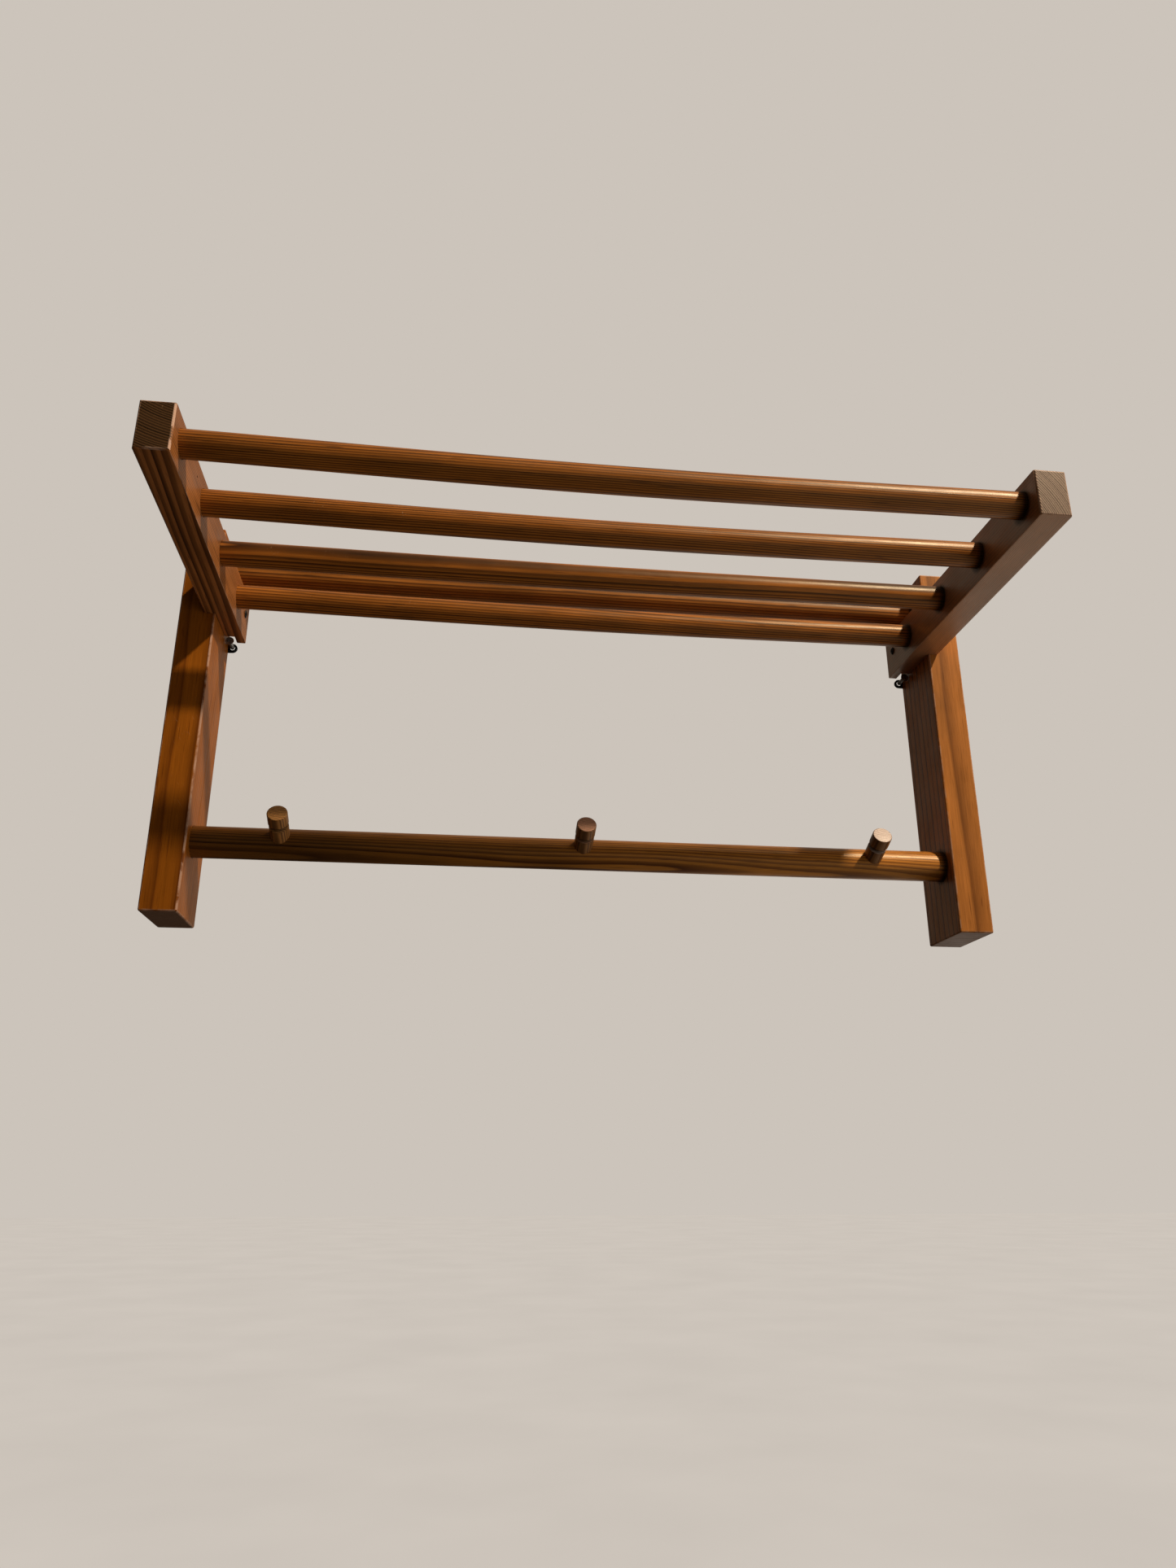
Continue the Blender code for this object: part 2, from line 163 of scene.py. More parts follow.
def ramp(tree, value, stops):
    """A colour ramp from (position, grey level or hex colour) stops."""
    made = add(tree, "ShaderNodeValToRGB", None, {"Fac": value})
    elements = made.color_ramp.elements
    while len(elements) < len(stops):
        elements.new(0.5)
    for element, (position, level) in zip(elements, stops):
        element.position = position
        element.color = linear(level) if isinstance(level, str) else (level, level, level, 1.0)
    return made.outputs["Color"]


def remap(tree, value, low, high, to_low, to_high):
    inputs = {"Value": value, "From Min": low, "From Max": high, "To Min": to_low, "To Max": to_high}
    return add(tree, "ShaderNodeMapRange", {"clamp": True}, inputs).outputs["Result"]


def mix(tree, factor, first, second, blend="MIX"):
    inputs = {"Factor": factor, 6: first, 7: second}
    settings = {"data_type": "RGBA", "blend_type": blend}
    return add(tree, "ShaderNodeMix", settings, inputs).outputs[2]


def new_material(name):
    made = bpy.data.materials.new(name)
    made.use_nodes = True
    return made, made.node_tree, made.node_tree.nodes["Principled BSDF"]


# ---------------------------------------------------------------- materials


def log_place(tree, place, along, pith, lean):
    """The place in the log, in millimetres: Z runs along the pith."""
    turn = UP.rotation_difference(along).to_matrix() @ Matrix.Rotation(math.radians(lean[0]), 3, "X")
    turn = (turn @ Matrix.Rotation(math.radians(lean[1]), 3, "Y")).to_euler()
    inputs = {"Vector": place, "Location": pith, "Rotation": turn, "Scale": (MM, MM, MM)}
    return add(tree, "ShaderNodeMapping", {"vector_type": "TEXTURE"}, inputs).outputs["Vector"]


def shaken(tree, place, stretch, detail, by_mm):
    """The place, pushed about by a noise."""
    noise = cloud(tree, place, stretch, detail).outputs["Color"]
    push = vectors(tree, "SCALE", vectors(tree, "SUBTRACT", noise, (0.5, 0.5, 0.5)), 2 * by_mm)
    return vectors(tree, "ADD", place, push)


def latewood_of(tree, log, ring_mm, late_share, wave_mm):
    """How much a place is in the dark late part of its year's ring, 0 to 1.

    The rings wander by wave_mm over 60 mm across and 220 mm along, and by a little over 6 mm and 170 mm.
    Good and bad years come about eight rings apart and shift the rings by up to 1.6 of a ring.
    """
    bent = shaken(tree, log, (0.016, 0.016, 0.0045), 1.0, wave_mm)
    small_wave_mm = 0.12
    bent = shaken(tree, bent, (0.16, 0.16, 0.006), 2.0, small_wave_mm)
    radius = vectors(tree, "LENGTH", vectors(tree, "MULTIPLY", bent, (1.0, 1.0, 0.0)))
    spells_a_ring = 0.12
    slow = {"W": maths(tree, "MULTIPLY", radius, spells_a_ring / ring_mm), "Scale": 1.0, "Detail": 2.0}
    years = add(tree, "ShaderNodeTexNoise", {"noise_dimensions": "1D"}, slow).outputs["Fac"]
    rings_off = 1.6
    growth = maths(tree, "MULTIPLY_ADD", years, rings_off, maths(tree, "DIVIDE", radius, ring_mm))
    season = maths(tree, "FRACT", growth)
    starts = 1.0 - late_share
    stops = ((0.0, 0.20), (0.06, 0.0), (starts * 0.7, 0.08), (starts, 0.60), (0.94, 1.0), (1.0, 0.30))
    latewood = ramp(tree, season, stops)
    year = {"W": maths(tree, "FLOOR", growth)}
    depth = add(tree, "ShaderNodeTexWhiteNoise", {"noise_dimensions": "1D"}, year).outputs["Value"]
    palest_year = 0.6
    return maths(tree, "MULTIPLY", latewood, remap(tree, depth, 0.0, 1.0, palest_year, 1.0))


def painted_shade_round(tree, place, seats):
    """Painted shade that is full inside each seat, (axes that count, point, radius), and fades out round it.
    """
    total = 0.0
    for across, point, radius in seats:
        off = vectors(tree, "SUBTRACT", place, point)
        away = vectors(tree, "LENGTH", vectors(tree, "MULTIPLY", off, across))
        near = remap(tree, away, radius, radius + PAINTED_SHADE_FADE, 1.0, 0.0)
        total = maths(tree, "MAXIMUM", total, near)
    return total


def scratch_lines(tree, place, direction, spots):
    """Fine pale scratches along a direction, thick in the spots (point, radius) and rare elsewhere.

    They are 0.7 mm wide, which is as fine as shows, and 12 mm long, and lie in patches 26 mm across.
    """
    turn = UP.rotation_difference(Vector(direction)).to_euler()
    inputs = {"Vector": place, "Rotation": turn, "Scale": (1.0, 1.0, 1.0)}
    turned = add(tree, "ShaderNodeMapping", {"vector_type": "TEXTURE"}, inputs).outputs["Vector"]
    lines = cloud(tree, turned, (1500.0, 1500.0, 85.0), 2.0, 0.6).outputs["Fac"]
    patch = cloud(tree, place, (38.0, 38.0, 38.0), 2.0).outputs["Fac"]
    most_elsewhere = 0.55
    wanted = remap(tree, patch, 0.60, 0.74, 0.0, most_elsewhere)
    for point, radius in spots:
        away = vectors(tree, "LENGTH", vectors(tree, "SUBTRACT", place, point))
        wanted = maths(tree, "MAXIMUM", wanted, remap(tree, away, radius * 0.4, radius, 1.0, 0.0))
    return maths(tree, "MULTIPLY", remap(tree, lines, 0.655, 0.70, 0.0, 1.0), wanted)


def stained_pine(
    name,
    grain,
    pith,
    *,
    ring_mm,
    wave_mm,
    early,
    late,
    lean=(0.6, 0.5),
    late_share=0.40,
    end_early="4A2D18",
    end_late="1A0F08",
    gloss=0.38,
    shine=0.5,
    painted_shade_left=1.0,
    seats=(),
    scratch=(0.3, 0.2, 1.0),
    scuffs=(),
):
    """Pine, planed, stained amber brown and varnished by hand.

    The late wood of each ring shows as dark lines on paler stripes, and the sawn ends drink the stain, so
    the ends have their own two tones. Satin varnish lies over it, rubbed through at the arrises, which are
    painted paler for that wear and as a painted highlight. The rings stand round a pith line that passes
    through pith (metres) along grain, leaned by two small angles in degrees, which gives the run-out and
    the cathedral arches. Painted shade darkens a bar towards its left end, down to the left end's share of
    its tone, and darkens the seats where parts meet. The gloss is the varnish's roughness, and a lower shine
    is a thinner, duller coat.
    """
    painted_shade_tone, bare_and_highlight_tone, scratch_tone = linear("140B07"), linear("E2BBA2"), linear("DDB38A")
    most_bare_and_highlight = 0.85
    most_painted_shade = 0.85
    most_scratched = 0.60
    made, tree, shader = new_material(name)
    coordinates = add(tree, "ShaderNodeTexCoord")
    place = coordinates.outputs["Object"]
    along = Vector(grain).normalized()
    log = log_place(tree, place, along, pith, lean)
    latewood = latewood_of(tree, log, ring_mm, late_share, wave_mm)

    # Fibres 0.6 mm across and 36 mm long, resin canals 1.2 by 25 mm, and blotches of stain 29 by 83 mm
    fibres = cloud(tree, log, (1.7, 1.7, 0.028), 4.0, 0.62).outputs["Fac"]
    canals = cloud(tree, log, (0.8, 0.8, 0.040), 1.0).outputs["Fac"]
    blotch = cloud(tree, log, (0.035, 0.035, 0.012), 3.0, 0.6).outputs["Fac"]

    colour = mix(tree, latewood, linear(early), linear(late))
    colour = mix(tree, 1.0, colour, remap(tree, fibres, 0.30, 0.70, 0.80, 1.16), "MULTIPLY")
    colour = mix(tree, 1.0, colour, remap(tree, blotch, 0.30, 0.70, 0.78, 1.16), "MULTIPLY")
    colour = mix(tree, remap(tree, canals, 0.64, 0.74, 0.0, 0.5), colour, linear(late))
    # Painted shade: darker towards the left end
    across = add(tree, "ShaderNodeSeparateXYZ", None, {0: place}).outputs[0]
    colour = mix(tree, 1.0, colour, remap(tree, across, -0.22, 0.20, painted_shade_left, 1.0), "MULTIPLY")

    facing = vectors(tree, "DOT_PRODUCT", coordinates.outputs["Normal"], tuple(along))
    end_grain = remap(tree, maths(tree, "ABSOLUTE", facing), 0.72, 0.94, 0.0, 1.0)
    # Open pores on the sawn ends, drawn 0.45 mm across, which is as fine as shows
    pores = cloud(tree, log, (2.2, 2.2, 0.5), 3.0, 0.6).outputs["Fac"]
    sawn = mix(tree, latewood, linear(end_early), linear(end_late))
    sawn = mix(tree, 1.0, sawn, remap(tree, pores, 0.3, 0.7, 0.72, 1.25), "MULTIPLY")
    colour = mix(tree, end_grain, colour, sawn)

    # Painted shade at the seats, where parts meet and the shadow falls
    painted_shade = painted_shade_round(tree, place, seats)
    colour = mix(tree, maths(tree, "MULTIPLY", painted_shade, most_painted_shade), colour, painted_shade_tone)

    # The arrises are paler in patches 13 mm long: rubbed bare, and a painted highlight along the edges
    arris = add(tree, "ShaderNodeAttribute", {"attribute_name": "arris"}).outputs["Fac"]
    rubbed_and_highlit = cloud(tree, place, (75.0, 75.0, 75.0), 4.0, 0.65).outputs["Fac"]
    bare_and_highlight = maths(tree, "MULTIPLY", arris, remap(tree, rubbed_and_highlit, 0.40, 0.57, 0.02, 0.42))
    bare_and_highlight = maths(tree, "MINIMUM", bare_and_highlight, most_bare_and_highlight)
    lines = scratch_lines(tree, place, scratch, scuffs)
    colour = mix(tree, bare_and_highlight, colour, bare_and_highlight_tone)
    colour = mix(tree, maths(tree, "MULTIPLY", lines, most_scratched), colour, scratch_tone)

    # The varnish is duller in patches 29 mm across from handling, on sawn ends and where it is rubbed
    handling = cloud(tree, place, (35.0, 35.0, 35.0), 3.0, 0.6).outputs["Fac"]
    roughness = remap(tree, fibres, 0.30, 0.70, gloss - 0.05, gloss + 0.08)
    roughness = maths(tree, "ADD", roughness, remap(tree, handling, 0.35, 0.65, -0.04, 0.06))
    roughness = maths(tree, "MULTIPLY_ADD", end_grain, 0.12, roughness)
    roughness = maths(tree, "MULTIPLY_ADD", maths(tree, "ADD", bare_and_highlight, painted_shade), 0.20, roughness)

    relief = maths(tree, "MULTIPLY_ADD", latewood, 0.45, maths(tree, "MULTIPLY", fibres, 0.55))
    relief = maths(tree, "MULTIPLY_ADD", end_grain, maths(tree, "MULTIPLY", latewood, 2.2), relief)
    relief = maths(tree, "MULTIPLY_ADD", lines, -0.6, relief)
    bump = add(tree, "ShaderNodeBump", None, {"Height": relief, "Strength": 0.40, "Distance": 0.00022})
    tree.links.new(colour, shader.inputs["Base Color"])
    tree.links.new(roughness, shader.inputs["Roughness"])
    tree.links.new(bump.outputs["Normal"], shader.inputs["Normal"])
    shader.inputs["IOR"].default_value = 1.5
    shader.inputs["Specular Tint"].default_value = linear("F6DCA4")
    shader.inputs["Specular IOR Level"].default_value = shine
    shader.inputs["Coat Weight"].default_value = 0.3 * shine
    shader.inputs["Coat Roughness"].default_value = 0.34
    return made


def screw_steel(name, tone="B4B2AE", roughness=0.40):
    """Zinc plated steel gone dull: grey, with darker stain in 4 mm patches and a grain 0.4 mm across."""
    made, tree, shader = new_material(name)
    place = add(tree, "ShaderNodeTexCoord").outputs["Object"]
    stain = cloud(tree, place, (260.0, 260.0, 260.0), 3.0, 0.6).outputs["Fac"]
    marks = cloud(tree, place, (2600.0, 2600.0, 2600.0), 2.0).outputs["Fac"]
    colour = mix(tree, remap(tree, stain, 0.46, 0.72, 0.0, 0.7), linear(tone), linear("2B2723"))
    bump = add(tree, "ShaderNodeBump", None, {"Height": marks, "Strength": 0.25, "Distance": 0.00004})
    rough = remap(tree, stain, 0.35, 0.65, roughness - 0.06, roughness + 0.22)
    tree.links.new(colour, shader.inputs["Base Color"])
    tree.links.new(rough, shader.inputs["Roughness"])
    tree.links.new(bump.outputs["Normal"], shader.inputs["Normal"])
    shader.inputs["Metallic"].default_value = 1.0
    return made


def blackened_steel(name):
    """Hot rolled strip, blackened in oil: dark scale in 2 mm flakes, rubbed brown in 11 mm patches; on the
    hanger plates the dark is painted shade.
    """
    made, tree, shader = new_material(name)
    place = add(tree, "ShaderNodeTexCoord").outputs["Object"]
    scale = cloud(tree, place, (420.0, 420.0, 420.0), 4.0, 0.6).outputs["Fac"]
    rub = cloud(tree, place, (90.0, 90.0, 90.0), 3.0, 0.6).outputs["Fac"]
    colour = mix(tree, remap(tree, rub, 0.50, 0.72, 0.0, 0.7), linear("2A2A2C"), linear("5B4A3C"))
    colour = mix(tree, 1.0, colour, remap(tree, scale, 0.3, 0.7, 0.75, 1.15), "MULTIPLY")
    bump = add(tree, "ShaderNodeBump", None, {"Height": scale, "Strength": 0.3, "Distance": 0.00008})
    tree.links.new(colour, shader.inputs["Base Color"])
    tree.links.new(remap(tree, scale, 0.3, 0.7, 0.38, 0.62), shader.inputs["Roughness"])
    tree.links.new(bump.outputs["Normal"], shader.inputs["Normal"])
    shader.inputs["Metallic"].default_value = 1.0
    return made


# ---------------------------------------------------------------- shapes


def keep_piece(name, mesh, finish, body, stands_for):
    """Shows a mesh as a piece that rides on a body and stands for a node of the model."""
    piece = bpy.data.objects.new(name, mesh)
    bpy.context.scene.collection.objects.link(piece)
    mesh.materials.clear()
    mesh.materials.append(finish)
    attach(piece, body)
    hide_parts(stands_for)
    return piece


def finished_mesh(name, mesh, modifiers):
    """The mesh with the modifiers (kind, settings) applied."""
    temporary = bpy.data.objects.new(name + "_raw", mesh)
    bpy.context.scene.collection.objects.link(temporary)
    for kind, settings in modifiers:
        modifier = temporary.modifiers.new(kind.lower(), kind)
        for key, value in settings.items():
            setattr(modifier, key, value)
    graph = bpy.context.evaluated_depsgraph_get()
    made = bpy.data.meshes.new_from_object(temporary.evaluated_get(graph))
    bpy.data.objects.remove(temporary, do_unlink=True)
    made.name = name
    return made


def mesh_from(name, bm):
    mesh = bpy.data.meshes.new(name)
    bm.to_mesh(mesh)
    bm.free()
    return mesh


def smoothed(mesh, crease):
    """Smooth shading, but sharp at an edge that turns by more than crease degrees."""
    mesh.shade_smooth()
    mesh.set_sharp_from_angle(angle=math.radians(crease))
    return mesh


def merged_copy(node_name):
    """A clean copy of a node's mesh: doubles merged and flat faces made whole."""
    bm = bmesh.new()
    bm.from_mesh(nodes[node_name].data)
    bmesh.ops.remove_doubles(bm, verts=bm.verts, dist=SAME_PLACE)
    flat_within = math.radians(0.6)
    bmesh.ops.dissolve_limit(bm, angle_limit=flat_within, verts=bm.verts, edges=bm.edges)
    return bm


def turned_shape(profile, steps):
    """A closed turned shape about Z; the profile runs from the top down as (radius, height)."""
    bm = bmesh.new()
    corners = [bm.verts.new((radius, 0.0, height)) for radius, height in profile]
    edges = [bm.edges.new(pair) for pair in zip(corners, corners[1:])]
    whole_turn = 2 * math.pi
    bmesh.ops.spin(bm, geom=corners + edges, axis=UP, cent=(0, 0, 0), angle=whole_turn, steps=steps)
    bmesh.ops.remove_doubles(bm, verts=bm.verts, dist=2 * SAME_PLACE)
    bmesh.ops.recalc_face_normals(bm, faces=bm.faces)
    return bm


def drilled(mesh, place, direction, radius, depth):
    """The mesh with a small round hole drilled at a place, into a direction."""
    bm = bmesh.new()
    size = {"segments": 16, "radius1": radius, "radius2": radius, "depth": 2 * depth}
    bmesh.ops.create_cone(bm, cap_ends=True, **size)
    turn = UP.rotation_difference(Vector(direction)).to_matrix().to_4x4()
    bmesh.ops.transform(bm, matrix=Matrix.Translation(place) @ turn, verts=bm.verts)
    drill = bpy.data.objects.new("drill", mesh_from("drill", bm))
    bpy.context.scene.collection.objects.link(drill)
    settings = {"operation": "DIFFERENCE", "solver": "EXACT", "object": drill}
    made = finished_mesh(mesh.name + "_drilled", mesh, (("BOOLEAN", settings),))
    bpy.data.objects.remove(drill, do_unlink=True)
    return made


def planed_stick(node_name, highlit_corner, wear_and_highlight):
    """A planed stick: its eased arrises are marked, for wear and a painted highlight, and shaded round
    between true flats.

    The arris that runs past the given corner, an (X, Y) place, is painted paler than the rest: a painted
    highlight where the lamp catches it, and wear.
    """
    squarest_arris = 0.985
    shortest_arris = 20 * MM
    near_corner = 2 * MM
    bm = merged_copy(node_name)
    arris = bm.faces.layers.float.new("arris")
    for face in bm.faces:
        corners = [corner.co for corner in face.verts]
        spans = [max(c[axis] for c in corners) - min(c[axis] for c in corners) for axis in range(3)]
        squareness = max(abs(part) for part in face.normal)
        eased = squareness < squarest_arris and max(spans) > shortest_arris
        off_corner = (Vector(highlit_corner) - face.calc_center_median().xy).length
        face[arris] = 1.0 if eased else 0.0
        # A painted highlight, with wear, on the arris that faces the lamp
        if eased and off_corner < near_corner:
            face[arris] = wear_and_highlight
    return smoothed(mesh_from(node_name, bm), crease=38)


def flat_shaded(mesh):
    """Weighted normals, so that the wide flats stay flat to the eye beside the rounded arrises."""
    return finished_mesh(mesh.name, mesh, (("WEIGHTED_NORMAL", {"keep_sharp": True}),))


def new_tree(name, lengths, places=()):
    """A tree of Geometry Nodes with named inputs for lengths, for places and for its finish."""
    tree = bpy.data.node_groups.new(name, "GeometryNodeTree")
    face = tree.interface
    face.new_socket("Geometry", in_out="OUTPUT", socket_type="NodeSocketGeometry")
    for label in lengths:
        face.new_socket(label, in_out="INPUT", socket_type="NodeSocketFloat")
    for label in places:
        face.new_socket(label, in_out="INPUT", socket_type="NodeSocketVector")
    face.new_socket("Finish", in_out="INPUT", socket_type="NodeSocketMaterial")
    return tree, add(tree, "NodeGroupInput").outputs


def finished_tree(tree, made, finish):
    """Ends a node tree with a plain mesh in its finish."""
    made = add(tree, "GeometryNodeRealizeInstances", None, {"Geometry": made}).outputs[0]
    made = add(tree, "GeometryNodeSetMaterial", None, {"Geometry": made, "Material": finish}).outputs[0]
    add(tree, "NodeGroupOutput", None, {0: made})
    return tree


def bar_tree():
    """Nodes for a round bar along X: it bows down between its shoulders and is a little out of true.

    The bow's slope is nought at the shoulders, so the bar runs straight into its sockets. The skin rises
    and falls over 45 mm along the bar and 11 mm round it.
    """
    lengths = ("Half Length", "Shoulder", "Radius", "Bow", "Unevenness")
    tree, given = new_tree("round_bar", lengths, ("Axis",))
    far = add(tree, "ShaderNodeCombineXYZ", None, {0: given["Half Length"]}).outputs[0]
    near = vectors(tree, "SCALE", far, -1.0)
    line = add(tree, "GeometryNodeCurvePrimitiveLine", None, {"Start": near, "End": far}).outputs[0]
    line = add(tree, "GeometryNodeResampleCurve", None, {"Curve": line, "Count": 132}).outputs[0]

    here = add(tree, "GeometryNodeInputPosition").outputs[0]
    along = add(tree, "ShaderNodeSeparateXYZ", None, {0: here}).outputs[0]
    share = maths(tree, "DIVIDE", along, given["Shoulder"])
    slack = maths(tree, "SUBTRACT", 1.0, maths(tree, "MULTIPLY", share, share))
    hang = maths(tree, "POWER", maths(tree, "MAXIMUM", slack, 0.0), 1.5)
    down = maths(tree, "MULTIPLY", hang, given["Bow"])
    drop = add(tree, "ShaderNodeCombineXYZ", None, {2: maths(tree, "MULTIPLY", down, -1.0)}).outputs[0]
    line = add(tree, "GeometryNodeSetPosition", None, {"Geometry": line, "Offset": drop}).outputs[0]

    inputs = {"Resolution": 56, "Radius": given["Radius"]}
    ring = add(tree, "GeometryNodeCurvePrimitiveCircle", None, inputs).outputs[0]
    inputs = {"Curve": line, "Profile Curve": ring, "Fill Caps": True}
    skin = add(tree, "GeometryNodeCurveToMesh", None, inputs).outputs[0]
    place = vectors(tree, "ADD", here, given["Axis"])
    lumps = cloud(tree, place, (22.0, 90.0, 90.0), 1.0).outputs["Fac"]
    proud = maths(tree, "MULTIPLY", maths(tree, "SUBTRACT", lumps, 0.5), given["Unevenness"])
    push = vectors(tree, "SCALE", add(tree, "GeometryNodeInputNormal").outputs[0], proud)
    skin = add(tree, "GeometryNodeSetPosition", None, {"Geometry": skin, "Offset": push}).outputs[0]
    inputs = {"Geometry": skin, "Translation": given["Axis"]}
    skin = add(tree, "GeometryNodeTransform", None, inputs).outputs[0]
    return finished_tree(tree, skin, given["Finish"])


def thread_tree():
    """Nodes for a screw's threaded shank down -Z: a cylinder whose skin rises and falls along a helix.

    The ridge is sharper than the furrow, and the shank narrows over the point to a blunt tip.
    """
    sharpness = 1.6
    tip = 0.05
    lengths = ("Length", "Core Radius", "Thread Height", "Pitch", "Point Length")
    tree, given = new_tree("screw_thread", lengths)
    inputs = {"Vertices": 20, "Side Segments": 110, "Radius": 1.0, "Depth": given["Length"]}
    tube = add(tree, "GeometryNodeMeshCylinder", {"fill_type": "TRIANGLE_FAN"}, inputs).outputs[0]
    here = add(tree, "GeometryNodeInputPosition").outputs[0]
    parts = add(tree, "ShaderNodeSeparateXYZ", None, {0: here}).outputs
    half = maths(tree, "MULTIPLY", given["Length"], 0.5)
    depth = maths(tree, "SUBTRACT", half, parts[2])
    turn = maths(tree, "DIVIDE", maths(tree, "ARCTAN2", parts[1], parts[0]), 2 * math.pi)
    phase = maths(tree, "FRACT", maths(tree, "ADD", maths(tree, "DIVIDE", depth, given["Pitch"]), turn))
    off_ridge = maths(tree, "ABSOLUTE", maths(tree, "MULTIPLY_ADD", phase, 2.0, -1.0))
    ridge = maths(tree, "POWER", maths(tree, "SUBTRACT", 1.0, off_ridge), sharpness)
    width = maths(tree, "MULTIPLY_ADD", ridge, given["Thread Height"], given["Core Radius"])
    left = maths(tree, "DIVIDE", maths(tree, "SUBTRACT", given["Length"], depth), given["Point Length"])
    width = maths(tree, "MULTIPLY", width, maths(tree, "MAXIMUM", maths(tree, "MINIMUM", left, 1.0), tip))
    across = maths(tree, "MULTIPLY", parts[0], width)
    up = maths(tree, "MULTIPLY", parts[1], width)
    down = maths(tree, "MULTIPLY", depth, -1.0)
    there = add(tree, "ShaderNodeCombineXYZ", None, {0: across, 1: up, 2: down}).outputs[0]
    tube = add(tree, "GeometryNodeSetPosition", None, {"Geometry": tube, "Position": there}).outputs[0]
    return finished_tree(tree, tube, given["Finish"])


def grown(name, tree, values):
    """The plain mesh that a node tree gives for named input values."""
    holder = bpy.data.objects.new(name + "_raw", bpy.data.meshes.new(name + "_raw"))
    bpy.context.scene.collection.objects.link(holder)
    modifier = holder.modifiers.new("grow", "NODES")
    modifier.node_group = tree
    for item in tree.interface.items_tree:
        if item.in_out == "INPUT":
            modifier[item.identifier] = values[item.name]
    graph = bpy.context.evaluated_depsgraph_get()
    made = bpy.data.meshes.new_from_object(holder.evaluated_get(graph))
    bpy.data.objects.remove(holder, do_unlink=True)
    bm = bmesh.new()
    bm.from_mesh(made)
    bpy.data.meshes.remove(made)
    bmesh.ops.remove_doubles(bm, verts=bm.verts, dist=SAME_PLACE)
    bmesh.ops.recalc_face_normals(bm, faces=bm.faces)
    return mesh_from(name, bm)


def round_bar(name, tree, shoulder, finish):
    """A bar in its node's place; the node's box is deeper than the bar by the bow."""
    size = reach(name)
    bow = ROD_BOW_MM.get(name, 0.0) * MM
    centre = middle(name)
    values = {
        "Half Length": size.x / 2,
        "Shoulder": shoulder,
        "Radius": size.y / 2,
        "Bow": bow,
        "Unevenness": BAR_UNEVENNESS,
        "Axis": (0.0, centre.y, centre.z + bow / 2),
        "Finish": finish,
    }
    return smoothed(grown(name, tree, values), crease=40)


def peg_shape(name):
    """A turned peg: a straight stem, a V groove, and a head with a softened rim.

    Its heights are measured along the peg's own axis, from the rail's axis.
    """
    stem = 7.7 * MM
    head = 8.0 * MM
    waist = 5.0 * MM
    face_at = 38.5 * MM
    root_at = -3.0 * MM
    softening = 0.9 * MM
    half_groove = 2.2 * MM
    groove_shape = 1.3
    rim_steps = 6
    half_groove_steps = 12
    profile = [(0.0, face_at)]
    for step in range(rim_steps + 1):
        angle = math.radians(90 * (1 - step / rim_steps))
        radius = head - softening + softening * math.cos(angle)
        profile.append((radius, face_at - softening + softening * math.sin(angle)))
    for step in range(2 * half_groove_steps + 1):
        share = step / half_groove_steps - 1
        sunk = max(0.0, 1 - abs(share) ** groove_shape)
        lip = head if share < 0 else stem
        profile.append((lip - (lip - waist) * sunk, PEG_GROOVE_AT - share * half_groove))
    profile.append((stem, root_at))
    profile.append((0.0, root_at))
    bm = turned_shape(profile, 56)
    rail = middle("coat_rail")
    place = Matrix.Translation((middle(name).x, rail.y, rail.z))
    turn = Matrix.Rotation(math.radians(90 - PEG_TILT), 4, "X")
    bmesh.ops.transform(bm, matrix=place @ turn, verts=bm.verts)
    return smoothed(mesh_from(name, bm), crease=42)


def recessed_head(name, radius, height, shank, domed):
    """A screw's head with its face up at Z = height, and in it a cross recess that stands askew."""
    slot_size = (radius * 1.15, radius * 0.26, height * 1.2)
    if domed:
        arch = [math.radians(angle) for angle in (90, 70, 50, 30, 12)]
        profile = [(radius * math.cos(a), height * math.sin(a)) for a in arch]
        profile += [(radius, 0.0), (shank, 0.0), (0.0, 0.0)]
    else:
        rim = 0.3 * MM
        softening = 0.1 * MM
        neck = (shank * 1.25, height * 0.25)
        profile = [(0.0, height), (radius - softening, height), (radius, height - softening)]
        profile += [(radius, height - rim), neck, (shank, 0.0), (0.0, 0.0)]
    head = smoothed(mesh_from(name, turned_shape(profile, 36)), crease=35)
    bm = bmesh.new()
    for turn in (20, 110):
        slot = bmesh.ops.create_cube(bm, size=1.0)["verts"]
        bmesh.ops.scale(bm, vec=slot_size, verts=slot)
        place = Matrix.Translation((0, 0, height)) @ Matrix.Rotation(math.radians(turn), 4, "Z")
        bmesh.ops.transform(bm, matrix=place, verts=slot)
    driver = bpy.data.objects.new("driver", mesh_from("driver", bm))
    bpy.context.scene.collection.objects.link(driver)
    settings = {"operation": "DIFFERENCE", "solver": "EXACT", "use_self": True, "object": driver}
    made = finished_mesh(name, head, (("BOOLEAN", settings),))
    bpy.data.objects.remove(driver, do_unlink=True)
    return made


def screw_shape(name, tree, finish, place, outward, head, shank, length, domed=False, thread=0.16):
    """A screw whose head's underside stands at a place, with the head looking outward.

    The thread is the share of the shank's radius that it stands proud of the core.
    """
    radius, height = head
    top = recessed_head(name + "_head", radius, height, shank, domed)
    values = {
        "Length": length,
        "Core Radius": shank * (1 - thread),
        "Thread Height": shank * thread,
        "Pitch": THREAD_PITCH,
        "Point Length": SCREW_POINT,
        "Finish": finish,
    }
    shaft = grown(name + "_shaft", tree, values)
    bm = bmesh.new()
    bm.from_mesh(shaft)
    bm.from_mesh(top)
    turn = UP.rotation_difference(Vector(outward)).to_matrix().to_4x4()
    bmesh.ops.transform(bm, matrix=Matrix.Translation(place) @ turn, verts=bm.verts)
    return smoothed(mesh_from(name, bm), crease=35)


